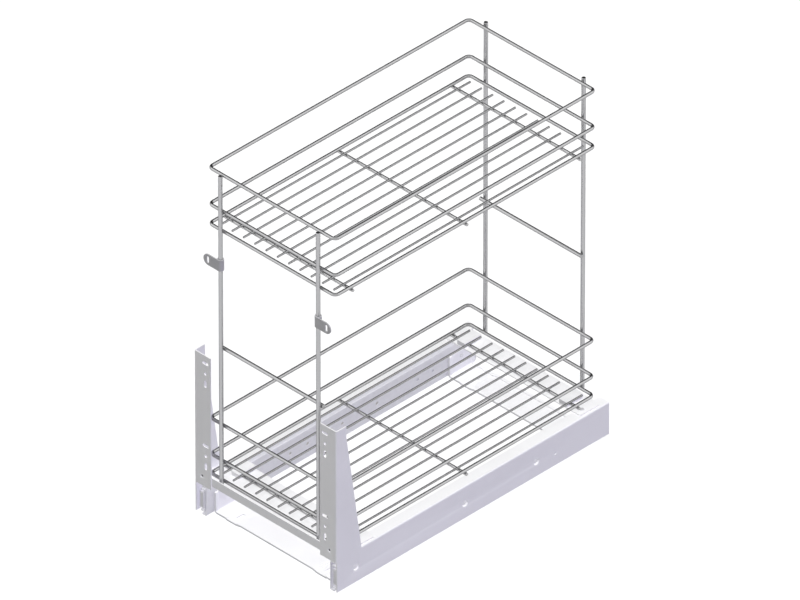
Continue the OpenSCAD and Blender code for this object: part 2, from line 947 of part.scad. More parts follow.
// Rectangular wire loop with round corners at height z
module loop(z) {
    straight_x = loop_half_w - loop_r;
    straight_y = loop_half_l - loop_r;
    color("silver")
        translate([0, 0, z]) {
            for (s = [-1, 1]) {
                translate([0, s * loop_half_l, 0])
                    rod_x(-straight_x, straight_x, loop_d / 2);
                translate([s * loop_half_w, 0, 0])
                    rod_y(-straight_y, straight_y, loop_d / 2);
            }
            for (q = [[1, 1, 0], [-1, 1, 90], [-1, -1, 180], [1, -1, 270]])
                translate([q[0] * straight_x, q[1] * straight_y, 0])
                    rotate([0, 0, q[2]])
                        rotate_extrude(angle = 90)
                            translate([loop_r, 0])
                                circle(d = loop_d);
        }
}

// Lengthwise wires that carry what stands in a basket
module floor_wires(dz) {
    half_l = loop_half_l - floor_wire_gap;
    color("silver")
        for (i = [0 : floor_wire_n - 1])
            translate([(i - (floor_wire_n - 1) / 2) * floor_pitch, 0,
                       floor_wire_z + dz])
                rod_y(-half_l, half_l, floor_wire_d / 2);
}

// Wires across the underside of a basket
module cross_wires(dz) {
    half_l = loop_half_w + cross_wire_overrun;
    color("silver")
        for (i = [-1, 0, 1])
            translate([0, i * cross_wire_y, cross_z + dz])
                rod_x(-half_l, half_l, cross_wire_d / 2);
}

module lower_bottom_loop() {
    loop(bottom_loop_z);
}

module lower_middle_loop() {
    loop(bottom_loop_z + middle_loop_rise);
}

module lower_top_loop() {
    loop(top_loop_z);
}

module lower_floor_wires() {
    floor_wires(0);
}

module lower_cross_wires() {
    cross_wires(0);
}

module upper_bottom_loop() {
    loop(bottom_loop_z + basket_pitch);
}

module upper_middle_loop() {
    loop(bottom_loop_z + middle_loop_rise + basket_pitch);
}

module upper_top_loop() {
    loop(top_loop_z + basket_pitch);
}

module upper_floor_wires() {
    floor_wires(basket_pitch);
}

module upper_cross_wires() {
    cross_wires(basket_pitch);
}

// ---- Door tabs -------------------------------------------------------------------------

module door_tab(s) {
    ring_r = post_d / 2 + fit + tab_ring_wall;
    end_r = tab_h / 2;
    color("dimgray")
        side(s)
            difference() {
                union() {
                    translate([post_x, -post_y, tab_z - tab_h / 2])
                        cylinder(h = tab_h, r = ring_r);
                    along_y(-post_y - ring_r, -post_y - ring_r + tab_t)
                        translate([post_x, tab_z]) {
                            translate([0, -tab_h / 2])
                                square([tab_l - end_r, tab_h]);
                            translate([tab_l - end_r, 0])
                                circle(end_r);
                        }
                }
                translate([post_x, -post_y, tab_z - tab_h])
                    cylinder(h = 2 * tab_h, d = post_d + 2 * fit);
                along_y(-post_y - ring_r - cut, -post_y)
                    translate([post_x + tab_slot_x, tab_z])
                        rotate(90)
                            oval(tab_slot_l, tab_slot_w);
            }
}

module left_door_tab() {
    door_tab(-1);
}

module right_door_tab() {
    door_tab(1);
}

// ---- Nodes -------------------------------------------------------------------------------

base_front_plate();
base_back_plate();
left_cabinet_rail();
right_cabinet_rail();
cabinet_rail_rivets();
left_rail_buffer();
right_rail_buffer();
left_middle_rail();
right_middle_rail();
left_outer_cage();
right_outer_cage();
left_outer_balls();
right_outer_balls();
left_inner_cage();
right_inner_cage();
left_inner_balls();
right_inner_balls();
left_carriage_rail();
right_carriage_rail();
left_front_stop();
right_front_stop();
left_side_panel();
right_side_panel();
carriage_rail_rivets();
front_cross_member();
back_cross_plate();
upright_rivets();
back_plate_rivets();
front_left_clip();
front_right_clip();
back_left_clip();
back_right_clip();
clip_rivets();
front_left_post();
front_right_post();
back_left_post();
back_right_post();
front_cross_rod();
back_cross_rod();
lower_bottom_loop();
lower_middle_loop();
lower_top_loop();
lower_floor_wires();
lower_cross_wires();
upper_bottom_loop();
upper_middle_loop();
upper_top_loop();
upper_floor_wires();
upper_cross_wires();
left_door_tab();
right_door_tab();
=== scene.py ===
# %% [markdown]
# # Pull-out cabinet basket
# This notebook dresses a pull-out basket for a narrow kitchen cabinet. The real object is
# two welded wire baskets on a sheet-metal carriage that runs on ball runners. Its solids
# come packed from the part's source, so here the work is surfaces, finishes and light.
# Everything is in metres: +X right, +Y towards the back of the cabinet, +Z up.

# %% Start the frame
import math

import bmesh
import bpy
import numpy as np
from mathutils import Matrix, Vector


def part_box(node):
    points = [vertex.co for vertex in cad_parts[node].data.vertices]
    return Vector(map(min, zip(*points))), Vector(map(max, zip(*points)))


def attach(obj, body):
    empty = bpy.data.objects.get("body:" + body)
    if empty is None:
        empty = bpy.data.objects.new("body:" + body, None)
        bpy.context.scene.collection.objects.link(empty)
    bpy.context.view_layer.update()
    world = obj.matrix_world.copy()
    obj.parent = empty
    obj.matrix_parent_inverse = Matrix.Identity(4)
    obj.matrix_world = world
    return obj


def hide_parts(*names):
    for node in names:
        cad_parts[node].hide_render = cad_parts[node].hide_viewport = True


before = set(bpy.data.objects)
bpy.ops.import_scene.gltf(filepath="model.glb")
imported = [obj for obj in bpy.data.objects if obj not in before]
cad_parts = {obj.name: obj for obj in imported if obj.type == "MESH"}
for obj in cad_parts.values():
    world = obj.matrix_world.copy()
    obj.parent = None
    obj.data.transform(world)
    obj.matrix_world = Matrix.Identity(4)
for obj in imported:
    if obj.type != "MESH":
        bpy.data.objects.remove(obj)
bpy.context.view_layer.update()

MM = 0.001

# %% [markdown]
# ## Sizes
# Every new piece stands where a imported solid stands, so its place is read from that
# solid's box instead of being typed in again. If a size changes in the source, the
# wires drawn here follow it. A box can't tell how often a wire repeats or how tightly a
# loop is bent, so those few values are written down.

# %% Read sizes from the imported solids
FLOOR_WIRES = 11
CROSS_WIRES = 3
LOOP_CORNER = 6.5 * MM
BASKETS = ("lower", "upper")
LEVELS = ("bottom", "middle", "top")
ENDS = ("front", "back")
HANDS = ("left", "right")


def node_box(node):
    """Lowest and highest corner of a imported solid, as two numpy arrays."""
    low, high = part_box(node)
    return np.array(low), np.array(high)


def wire_radius(node, axis=2):
    """Half the thickness of a wire, measured across its thin axis."""
    low, high = node_box(node)
    return float(high[axis] - low[axis]) / 2


LOOP_R = wire_radius("lower_top_loop")
FLOOR_R = wire_radius("lower_floor_wires")
CROSS_R = wire_radius("lower_cross_wires")
POST_R = wire_radius("front_left_post", axis=0)
ROD_R = wire_radius("front_cross_rod")
print("wire radii, mm:", [round(r / MM, 2) for r in (LOOP_R, FLOOR_R, CROSS_R, POST_R, ROD_R)])

# %% [markdown]
# ## Putting arrays into meshes
# Blender takes whole arrays of points and faces at once, which is far quicker than adding
# them one by one. One helper does this for every new piece: it links the mesh, makes it
# ride on its body, gives it its finish and hides the imported solids it stands for.

# %% Mesh helper
def put_mesh(name, points, faces, body, material, stands_for=(), uv=None):
    """Makes one piece from an (n, 3) array of points and a list of face arrays."""
    mesh = bpy.data.meshes.new(name)
    mesh.from_pydata(points.tolist(), [], sum((block.tolist() for block in faces), []))
    mesh.polygons.foreach_set("use_smooth", np.ones(len(mesh.polygons), bool))
    if uv is not None:
        layer = mesh.uv_layers.new(name="along")
        corner = np.zeros(len(mesh.loops), np.int32)
        mesh.loops.foreach_get("vertex_index", corner)
        layer.data.foreach_set("uv", uv[corner].astype(np.float32).ravel())
    mesh.update()
    piece = bpy.data.objects.new(name, mesh)
    bpy.context.scene.collection.objects.link(piece)
    mesh.materials.append(material)
    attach(piece, body)
    if stands_for:
        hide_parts(*stands_for)
    return piece


# %% [markdown]
# ## Faces of a grid
# Every new surface of the unit is a grid of points: its rows follow a wire, a ball or a
# rivet, and its columns go once round it. Such grids are all joined up in the same way, so
# one formula gives their faces. Copies of one shape only need their numbers moved on.

# %% Grid faces
def grid_faces(rows, columns, closed=False):
    """Quads (i+1, j), (i+1, j+1), (i, j+1), (i, j), which close round the columns, and
    the two end faces. With closed, the last row joins the first and no end is left."""
    i, j = np.meshgrid(np.arange(rows if closed else rows - 1), np.arange(columns),
                       indexing="ij")
    next_i, next_j = (i + 1) % rows, (j + 1) % columns
    quads = np.stack([next_i * columns + j, next_i * columns + next_j,
                      i * columns + next_j, i * columns + j], -1).reshape(-1, 4)
    if closed:
        return [quads]
    first = np.arange(columns)
    return [quads, np.stack([first, (rows - 1) * columns + first[::-1]])]


def repeat_faces(faces, copies, points_each):
    """The same faces for each of several copies that follow each other."""
    shift = points_each * np.arange(copies)[:, None, None]
    return [(block[None] + shift).reshape(-1, block.shape[1]) for block in faces]


# %% [markdown]
# ## Shared effects
# Several finishes need the same small effects. Each effect is a node group with named
# inputs, built once. A group gives out masks and heights only, and the shader stays in
# the material, where it can be tuned for one finish. These helpers add one node each, so
# that a group reads like a formula.

# %% Node helpers
def new_group(name, inputs, outputs):
    """An empty shader group. inputs is a list of (name, default), where None stands for
    a vector, and outputs is a list of names."""
    group = bpy.data.node_groups.new(name, "ShaderNodeTree")
    for label, value in inputs:
        kind = "NodeSocketVector" if value is None else "NodeSocketFloat"
        socket = group.interface.new_socket(label, in_out="INPUT", socket_type=kind)
        if value is not None:
            socket.default_value = value
    for label in outputs:
        group.interface.new_socket(label, in_out="OUTPUT", socket_type="NodeSocketFloat")
    start = group.nodes.new("NodeGroupInput")
    end = group.nodes.new("NodeGroupOutput")
    return group, start, end


def link(tree, source, target):
    tree.links.new(source, target)


def feed(tree, socket, value):
    """Sets a socket to a number, or links another socket to it."""
    if isinstance(value, (int, float)):
        socket.default_value = value
    else:
        link(tree, value, socket)


def math_node(tree, operation, a, b):
    """A Math node. a and b are sockets or numbers."""
    node = tree.nodes.new("ShaderNodeMath")
    node.operation = operation
    feed(tree, node.inputs[0], a)
    feed(tree, node.inputs[1], b)
    return node.outputs[0]


def ramp_node(tree, source, low, high, to_low=0.0, to_high=1.0):
    """Maps source from low..high to to_low..to_high, and holds the ends."""
    node = tree.nodes.new("ShaderNodeMapRange")
    node.clamp = True
    for label, value in (("From Min", low), ("From Max", high),
                         ("To Min", to_low), ("To Max", to_high)):
        node.inputs[label].default_value = value
    link(tree, source, node.inputs["Value"])
    return node.outputs["Result"]


def noise_node(tree, vector, scale, detail, rough):
    """A noise between 0 and 1. scale is a socket or a number, in cells per metre."""
    node = tree.nodes.new("ShaderNodeTexNoise")
    node.inputs["Detail"].default_value = detail
    node.inputs["Roughness"].default_value = rough
    link(tree, vector, node.inputs["Vector"])
    feed(tree, node.inputs["Scale"], scale)
    return node.outputs["Fac"]


def stretch_node(tree, vector, scale):
    """Scales a coordinate by a different amount along each axis."""
    node = tree.nodes.new("ShaderNodeMapping")
    node.inputs["Scale"].default_value = scale
    link(tree, vector, node.inputs["Vector"])
    return node.outputs["Vector"]


# %% [markdown]
# ### Powder coat skin
# Baked powder leaves a faint orange peel about a millimetre across, slow changes of tone
# where the film is thicker, and a rare bright fleck. A painted picture could show them
# too, but three noises do it at any distance and need no file: a fine one for height, a
# broad one for tone and the peaks of a finer one for flecks.

# %% Powder coat group
def powder_skin():
    group, start, end = new_group(
        "Powder coat skin",
        [("Vector", None), ("Peel Scale", 900.0), ("Tone Scale", 14.0)],
        ["Tone", "Peel", "Fleck"])
    flecks_per_peel = 2.3
    vector, peel_scale = start.outputs["Vector"], start.outputs["Peel Scale"]
    fine = noise_node(group, vector, peel_scale, detail=2.0, rough=0.45)
    broad = noise_node(group, vector, start.outputs["Tone Scale"], detail=4.0,
                       rough=0.6)
    fleck_scale = math_node(group, "MULTIPLY", peel_scale, flecks_per_peel)
    fleck = noise_node(group, vector, fleck_scale, detail=1.0, rough=0.5)
    link(group, ramp_node(group, broad, 0.3, 0.7), end.inputs["Tone"])
    link(group, fine, end.inputs["Peel"])
    link(group, ramp_node(group, fleck, 0.68, 0.74), end.inputs["Fleck"])
    return group


POWDER_SKIN = powder_skin()
print("group:", POWDER_SKIN.name)

# %% [markdown]
# ### Drawn grain
# Wire is pulled through a die and runner steel is rolled, so both carry hair lines along
# their length. Modelled scratches would cost millions of faces. A noise that is stretched
# a hundred times along one axis looks the same from a step away. On wires it reads the
# piece's own map, whose second number is the length along the wire.

# %% Drawn grain group
def drawn_grain():
    group, start, end = new_group(
        "Drawn grain", [("Vector", None), ("Scale", 1.0)], ["Lines", "Patches"])
    patches_per_line = 0.11
    vector, scale = start.outputs["Vector"], start.outputs["Scale"]
    lines = noise_node(group, vector, scale, detail=4.0, rough=0.65)
    patch_scale = math_node(group, "MULTIPLY", scale, patches_per_line)
    patches = noise_node(group, vector, patch_scale, detail=3.0, rough=0.6)
    link(group, lines, end.inputs["Lines"])
    link(group, ramp_node(group, patches, 0.32, 0.68), end.inputs["Patches"])
    return group


DRAWN_GRAIN = drawn_grain()
print("group:", DRAWN_GRAIN.name)

# %% [markdown]
# ### Zinc bloom
# Zinc plate dulls in soft patches. Its crystals could be drawn as cells too, but they are
# too small to be seen here. A noise of five layers, from broad to fine, gives the haze.

# %% Zinc bloom group
def zinc_bloom():
    group, start, end = new_group("Zinc bloom", [("Vector", None), ("Scale", 160.0)],
                                  ["Haze"])
    haze = noise_node(group, start.outputs["Vector"], start.outputs["Scale"], detail=5.0,
                      rough=0.62)
    link(group, ramp_node(group, haze, 0.3, 0.72), end.inputs["Haze"])
    return group


ZINC_BLOOM = zinc_bloom()
print("group:", ZINC_BLOOM.name)

# %% [markdown]
# ### Handling dust
# A basket gathers a little dust on what faces up, and none underneath. The surface's own
# normal says which way it faces, so a mask of "up" times a soft noise is the dust. It
# needs no painted mask, and it stays right on every piece it is used for.

# %% Dust group
def settled_dust():
    group, start, end = new_group(
        "Settled dust", [("Vector", None), ("Scale", 40.0), ("Amount", 0.2)], ["Mask"])
    facing = group.nodes.new("ShaderNodeNewGeometry")
    split = group.nodes.new("ShaderNodeSeparateXYZ")
    link(group, facing.outputs["Normal"], split.inputs[0])
    up = ramp_node(group, split.outputs["Z"], 0.2, 1.0)
    noise = noise_node(group, start.outputs["Vector"], start.outputs["Scale"], detail=5.0,
                       rough=0.6)
    cloud = ramp_node(group, noise, 0.35, 0.75)
    lying = math_node(group, "MULTIPLY", up, cloud)
    mask = math_node(group, "MULTIPLY", lying, start.outputs["Amount"])
    link(group, mask, end.inputs["Mask"])
    return group


SETTLED_DUST = settled_dust()
print("group:", SETTLED_DUST.name)

# %% [markdown]
# ## Finishes
# Each finish is one material. A small helper opens a new material with its shader and
# its coordinates, and the finish then adds its own groups. Every pattern is placed by the
# piece's own coordinates in metres, so its grain has a real size and rides with it.

# %% Material helpers
def new_finish(name, metallic=0.0, specular=0.5):
    """A material with one Principled shader and its coordinates."""
    finish = bpy.data.materials.new(name)
    finish.use_nodes = True
    tree = finish.node_tree
    shader = tree.nodes["Principled BSDF"]
    shader.inputs["Metallic"].default_value = metallic
    shader.inputs["Specular IOR Level"].default_value = specular
    where = tree.nodes.new("ShaderNodeTexCoord")
    return finish, tree, shader, where


def use_group(tree, group, **values):
    """Places a group. Sockets are linked and numbers are set, by their names."""
    node = tree.nodes.new("ShaderNodeGroup")
    node.node_tree = group
    for label, value in values.items():
        feed(tree, node.inputs[label.replace("_", " ")], value)
    return node.outputs


def blend_colours(tree, factor, first, second):
    """Mixes two colours. Each is a socket or an (r, g, b) written in linear light."""
    node = tree.nodes.new("ShaderNodeMix")
    node.data_type = "RGBA"
    link(tree, factor, node.inputs["Factor"])
    for socket, value in ((node.inputs["A"], first), (node.inputs["B"], second)):
        if isinstance(value, tuple):
            socket.default_value = (*value, 1.0)
        else:
            link(tree, value, socket)
    return node.outputs["Result"]


def bump(tree, shader, height, distance, strength):
    """Turns a height into a normal, as deep as distance metres."""
    node = tree.nodes.new("ShaderNodeBump")
    node.inputs["Distance"].default_value = distance
    node.inputs["Strength"].default_value = strength
    link(tree, height, node.inputs["Height"])
    link(tree, node.outputs["Normal"], shader.inputs["Normal"])


# %% [markdown]
# ### Coated sheet
# Panels, uprights, cross members and base plates are sheet steel with a white-grey powder
# coat, half matt. A plain grey would do from afar. Up close the coat is told by its peel
# and its uneven tone, so the skin group drives colour, roughness and bump together.

# %% Coated sheet
def coated_sheet():
    thin_film, thick_film = (0.80, 0.80, 0.81), (0.84, 0.84, 0.85)
    bright_fleck, dust_grey = (0.88, 0.88, 0.90), (0.74, 0.73, 0.71)
    finish, tree, shader, where = new_finish("coated sheet", specular=0.45)
    place = where.outputs["Object"]
    skin = use_group(tree, POWDER_SKIN, Vector=place, Peel_Scale=900.0, Tone_Scale=9.0)
    dust = use_group(tree, SETTLED_DUST, Vector=place, Scale=30.0, Amount=0.12)
    tone = blend_colours(tree, skin["Tone"], thin_film, thick_film)
    fleck = blend_colours(tree, skin["Fleck"], tone, bright_fleck)
    colour = blend_colours(tree, dust["Mask"], fleck, dust_grey)
    link(tree, colour, shader.inputs["Base Color"])
    link(tree, ramp_node(tree, skin["Tone"], 0.0, 1.0, 0.36, 0.46),
         shader.inputs["Roughness"])
    bump(tree, shader, skin["Peel"], distance=0.06 * MM, strength=0.5)
    return finish


COATED_SHEET = coated_sheet()
print("finish:", COATED_SHEET.name)

# %% [markdown]
# ### Bright wire
# Baskets, posts and rods are bright plated steel. A round wire is read by its reflections:
# a pale line along its middle and a darker one at its upper edge. Painted lines would stay
# put when the view turns, so the shader is a full metal with fine grain, and the light does
# the rest. A dark tint at grazing angles keeps the rims from glaring. The one steel comes
# in copies of different tone, which is painted light and shade: posts and cross wires are
# painted lighter, the cross wires against the shade of the floor wires above them, and
# floor wires are painted darker. A weld bead has no length to follow, so its grain goes
# by its place instead of its map.

# %% Bright wire
WIRE_GRAIN = (2600.0, 26.0, 1.0)
BEAD_GRAIN = (600.0, 600.0, 600.0)
EDGE_TINT = (0.25, 0.25, 0.26, 1.0)


def bright_wire(name, dark, light, by_map=True):
    finish, tree, shader, where = new_finish(name, metallic=1.0)
    shader.inputs["Specular Tint"].default_value = EDGE_TINT
    middle = tuple((a + b) / 2 for a, b in zip(dark, light))
    if by_map:
        place = stretch_node(tree, where.outputs["UV"], WIRE_GRAIN)
    else:
        place = stretch_node(tree, where.outputs["Object"], BEAD_GRAIN)
    grain = use_group(tree, DRAWN_GRAIN, Vector=place, Scale=1.0)
    dust = use_group(tree, SETTLED_DUST, Vector=where.outputs["Object"], Scale=60.0,
                     Amount=0.10)
    tone = blend_colours(tree, grain["Lines"], dark, light)
    hazed = blend_colours(tree, grain["Patches"], tone, middle)
    colour = blend_colours(tree, dust["Mask"], hazed, light)
    link(tree, colour, shader.inputs["Base Color"])
    link(tree, ramp_node(tree, grain["Lines"], 0.2, 0.8, 0.16, 0.28),
         shader.inputs["Roughness"])
    bump(tree, shader, grain["Lines"], distance=0.02 * MM, strength=0.4)
    return finish


LOOP_WIRE = bright_wire("bright wire", (0.34, 0.34, 0.345), (0.42, 0.42, 0.425))
# Floor bars are the wire steel painted darker, and cross and post bars are it painted lighter:
# painted shade and painted light.
FLOOR_BAR_PAINTED_DARKER = bright_wire("floor bar", (0.27, 0.27, 0.275), (0.33, 0.33, 0.335))
CROSS_BAR_PAINTED_LIGHTER = bright_wire("cross bar", (0.40, 0.40, 0.405), (0.47, 0.47, 0.475))
POST_BAR_PAINTED_LIGHTER = bright_wire("post bar", (0.42, 0.42, 0.43), (0.47, 0.47, 0.48))
WELD_METAL = bright_wire("weld metal", (0.28, 0.28, 0.285), (0.38, 0.38, 0.385), by_map=False)
print("wire finishes:", [f.name for f in (LOOP_WIRE, FLOOR_BAR_PAINTED_DARKER, CROSS_BAR_PAINTED_LIGHTER, POST_BAR_PAINTED_LIGHTER, WELD_METAL)])

# %% [markdown]
# ### Runner steel
# Rails are rolled from zinc plated strip, cages are pressed from a duller strip, and
# rivets and balls are bare or plated steel. They differ in tone, gloss and how much they
# mirror, and all have rolling lines along the runner. One function with those few values
# makes them all, so that they look like one family.

# %% Runner steel
ROLLING_LINES = (1400.0, 14.0, 1400.0)


def runner_steel(name, dark, light, rough, metallic=1.0):
    line_share, glossier, duller = 0.35, 0.07, 0.1
    finish, tree, shader, where = new_finish(name, metallic)
    place = where.outputs["Object"]
    grain = use_group(tree, DRAWN_GRAIN, Scale=1.0,
                      Vector=stretch_node(tree, place, ROLLING_LINES))
    bloom = use_group(tree, ZINC_BLOOM, Vector=place, Scale=110.0)
    tone = blend_colours(tree, bloom["Haze"], dark, light)
    lines = math_node(tree, "MULTIPLY", grain["Lines"], line_share)
    link(tree, blend_colours(tree, lines, tone, light), shader.inputs["Base Color"])
    link(tree, ramp_node(tree, bloom["Haze"], 0.0, 1.0, rough - glossier, rough + duller),
         shader.inputs["Roughness"])
    bump(tree, shader, grain["Lines"], distance=0.03 * MM, strength=0.5)
    return finish


ZINC_RAIL = runner_steel("zinc rail", (0.62, 0.62, 0.64), (0.70, 0.70, 0.72), 0.36, 0.3)
CAGE_STEEL = runner_steel("cage steel", (0.44, 0.43, 0.40), (0.58, 0.56, 0.52), 0.42, 0.5)
RIVET_STEEL = runner_steel("rivet steel", (0.60, 0.60, 0.62), (0.72, 0.72, 0.74), 0.34, 0.4)
# The mandrel steel is near black: painted shade that darkens the hole of every blind rivet.
MANDREL_PAINTED_SHADE = runner_steel("mandrel steel", (0.05, 0.05, 0.055), (0.09, 0.09, 0.10), 0.45)
BALL_STEEL = runner_steel("ball steel", (0.66, 0.66, 0.68), (0.74, 0.74, 0.76), 0.14)
print("steel finishes:", [f.name for f in (ZINC_RAIL, CAGE_STEEL, RIVET_STEEL,
                                           MANDREL_PAINTED_SHADE, BALL_STEEL)])

# %% [markdown]
# ### Tab coat, clip plastic and buffer rubber
# The door tabs have a darker grey coat, the clips and stops are pale moulded plastic, and
# the buffers are black rubber. Each could have a texture of its own. All three are matt
# skins with a fine grain, though, so the powder skin serves again with other scales: the
# grain drives roughness and bump, and the broad tone shifts the colour a little.

# %% Skins of tabs, clips and buffers
def grained_skin(name, dark, light, smoothest, roughest, peel_scale, tone_scale,
                 distance, strength, specular=0.4):
    """A matt skin whose grain shifts its roughness between two values."""
    finish, tree, shader, where = new_finish(name, specular=specular)
    skin = use_group(tree, POWDER_SKIN, Vector=where.outputs["Object"],
                     Peel_Scale=peel_scale, Tone_Scale=tone_scale)
    link(tree, blend_colours(tree, skin["Tone"], dark, light), shader.inputs["Base Color"])
    link(tree, ramp_node(tree, skin["Peel"], 0.2, 0.8, smoothest, roughest),
         shader.inputs["Roughness"])
    bump(tree, shader, skin["Peel"], distance, strength)
    return finish


TAB_COAT = grained_skin(
    "tab coat", dark=(0.40, 0.40, 0.41), light=(0.47, 0.47, 0.48),
    smoothest=0.38, roughest=0.52, peel_scale=1400.0, tone_scale=60.0,
    distance=0.05 * MM, strength=0.6, specular=0.5)
CLIP_PLASTIC = grained_skin(
    "clip plastic", dark=(0.72, 0.72, 0.73), light=(0.80, 0.80, 0.81),
    smoothest=0.44, roughest=0.60, peel_scale=2200.0, tone_scale=45.0,
    distance=0.05 * MM, strength=0.7)
BUFFER_RUBBER = grained_skin(
    "buffer rubber", dark=(0.012, 0.012, 0.013), light=(0.03, 0.03, 0.032),
    smoothest=0.64, roughest=0.80, peel_scale=2200.0, tone_scale=45.0,
    distance=0.08 * MM, strength=0.7)
print("skins:", [f.name for f in (TAB_COAT, CLIP_PLASTIC, BUFFER_RUBBER)])

# %% [markdown]
# ## Round wires
# A wire is a circle carried along a line. Blender's curves could do that, but they end
# square and bring no length along the wire. Here the whole surface is one outer product:
# the points of the line plus the circle turned to stand square to it. Ends are rounded by
# shrinking the circle over the last part of a millimetre, and a flat disc closes each one.

# %% Tube along a line
SIDES = 24
END_ROUNDING = 0.6 * MM
END_STEPS = 6
STRAIGHT_STEPS = 9
END_SHARE = 0.02


def tube(line, tangent, radius, up):
    """Surface P(s, a) = line(s) + r(s) (cos a * side(s) + sin a * up), where side is
    tangent x up. line and tangent are (n, 3), up is square to every tangent, and radius
    is one number or n of them. The map holds (r a, length along the line)."""
    angle = np.linspace(0, 2 * np.pi, SIDES, endpoint=False)
    side = np.cross(tangent, up)
    ring = (np.cos(angle)[None, :, None] * side[:, None, :]
            + np.sin(angle)[None, :, None] * np.array(up, float))
    radii = np.broadcast_to(radius, len(line))
    points = line[:, None, :] + ring * radii[:, None, None]
    run = np.concatenate([[0], np.cumsum(np.linalg.norm(np.diff(line, axis=0), axis=1))])
    around = angle * radii.max()
    uv = np.stack(np.broadcast_arrays(around[None, :], run[:, None]), -1).reshape(-1, 2)
    return points.reshape(-1, 3), uv


def straight_wire(start, end, radius, up):
    """A straight bar with rounded ends. Over a quarter turn t the place moves in by
    rounding * (1 - cos t), while the radius grows by rounding * sin t to its full size."""
    length = np.linalg.norm(end - start)
    direction = (end - start) / length
    turn = np.linspace(0, np.pi / 2, END_STEPS)
    inset = END_ROUNDING * (1 - np.cos(turn))
    missing = END_ROUNDING * (1 - np.sin(turn))
    middle = np.linspace(END_SHARE, 1 - END_SHARE, STRAIGHT_STEPS) * length
    along = np.concatenate([inset, middle, length - inset[::-1]])
    radii = radius - np.concatenate([missing, np.zeros(STRAIGHT_STEPS), missing[::-1]])
    line = start + along[:, None] * direction
    return tube(line, np.broadcast_to(direction, line.shape), radii, up)


BAR_ROWS = 2 * END_STEPS + STRAIGHT_STEPS
print("faces of one bar:", [len(block) for block in grid_faces(BAR_ROWS, SIDES)])

# %% [markdown]
# ## Basket loops
# Each basket has three loops, bent from one wire and butt welded. The line of a loop is
# a rectangle with round corners, so it is four quarter circles joined by straights. The
# same could be bevelled off a drawn curve, but a formula keeps the bend at its true size.

# %% Loops
ARC_STEPS = 14
SIDE_STEPS = 12


def loop_line(half_x, half_y, corner):
    """Points and tangents of a rounded rectangle, counted round from +X. Corner k turns
    from k to k + 1 quarters: P(t) = centre_k + corner * (cos t, sin t). After it comes a
    straight, shared out evenly up to the next corner."""
    signs = np.array([(1, 1), (-1, 1), (-1, -1), (1, -1)])
    centres = signs * (np.array([half_x, half_y]) - corner)
    points, tangents = [], []
    for k in range(4):
        turn = k * np.pi / 2 + np.linspace(0, np.pi / 2, ARC_STEPS)
        outward = np.stack([np.cos(turn), np.sin(turn)], -1)
        heading = np.stack([-np.sin(turn), np.cos(turn)], -1)
        arc = centres[k] + corner * outward
        after = centres[(k + 1) % 4] + corner * outward[-1]
        share = np.linspace(0, 1, SIDE_STEPS + 2)[1:-1, None]
        points += [arc, arc[-1] + share * (after - arc[-1])]
        tangents += [heading, np.broadcast_to(heading[-1], (SIDE_STEPS, 2))]
    flat, lean = np.concatenate(points), np.concatenate(tangents)
    level = np.zeros(len(flat))
    return np.column_stack([flat, level]), np.column_stack([lean, level])


def basket_loop(node):
    low, high = node_box(node)
    half = (high - low) / 2 - LOOP_R
    line, tangent = loop_line(half[0], half[1], LOOP_CORNER)
    points, uv = tube(line + (low + high) / 2, tangent, LOOP_R, (0, 0, 1))
    return put_mesh(node + "_wire", points, grid_faces(len(line), SIDES, closed=True),
                    "carriage", LOOP_WIRE, [node], uv)


loops = [basket_loop(f"{basket}_{level}_loop") for basket in BASKETS for level in LEVELS]
print("loops:", len(loops))

# %% [markdown]
# ## Floor wires, cross wires, posts and rods
# All of these are straight bars, cropped by a shear, which leaves slightly rounded ends.
# Bars of one set are all alike, so one bar is worked out and its points are moved to every
# place at once. Linked copies would be lighter, but a set has to be one piece here.

# %% Bar helper
def spread(low, high, radius, count):
    """Centres of count parallel wires, spread evenly between two faces of a box."""
    return np.linspace(low + radius, high - radius, count)


def bars(node, axis, radius, material, count=1):
    """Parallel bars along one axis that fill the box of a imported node. Bar k is the
    middle bar moved sideways to its place."""
    low, high = node_box(node)
    across = 1 if axis == 0 else 0
    up = (0, 1, 0) if axis == 2 else (0, 0, 1)
    start, end = (low + high) / 2, (low + high) / 2
    sideways = np.zeros((count, 3))
    if count > 1:
        sideways[:, across] = spread(low[across], high[across], radius, count) - start[across]
    start[axis], end[axis] = low[axis], high[axis]
    points, uv = straight_wire(start, end, radius, up)
    faces = repeat_faces(grid_faces(BAR_ROWS, SIDES), count, len(points))
    points = (points[None] + sideways[:, None]).reshape(-1, 3)
    ending = "_bar" if count == 1 else "_bars"
    put_mesh(node + ending, points, faces, "carriage", material, [node],
             np.tile(uv, (count, 1)))
    return count


# %% Every straight wire
# Floor, cross and post bars take the painted darker or painted lighter copies of the wire steel.
straight = 0
for basket in BASKETS:
    straight += bars(f"{basket}_floor_wires", 1, FLOOR_R, FLOOR_BAR_PAINTED_DARKER, FLOOR_WIRES)
    straight += bars(f"{basket}_cross_wires", 0, CROSS_R, CROSS_BAR_PAINTED_LIGHTER, CROSS_WIRES)
for end in ENDS:
    straight += bars(f"{end}_cross_rod", 0, ROD_R, LOOP_WIRE)
    for hand in HANDS:
        straight += bars(f"{end}_{hand}_post", 2, POST_R, POST_BAR_PAINTED_LIGHTER)
print("straight wires:", straight)

# %% [markdown]
# ## Welds
# Where two wires cross, a resistance weld squeezes out a small smooth bead. It is a
# flattened ball in the gap between the wires. There are over a hundred, so each has a
# few dozen faces, and all of them come from one array: every bead is the same ball,
# moved to its place.

# %% Bead helper
BEAD_SIDES = 10
BEAD_ROWS = 7
POLE_GAP = 0.12


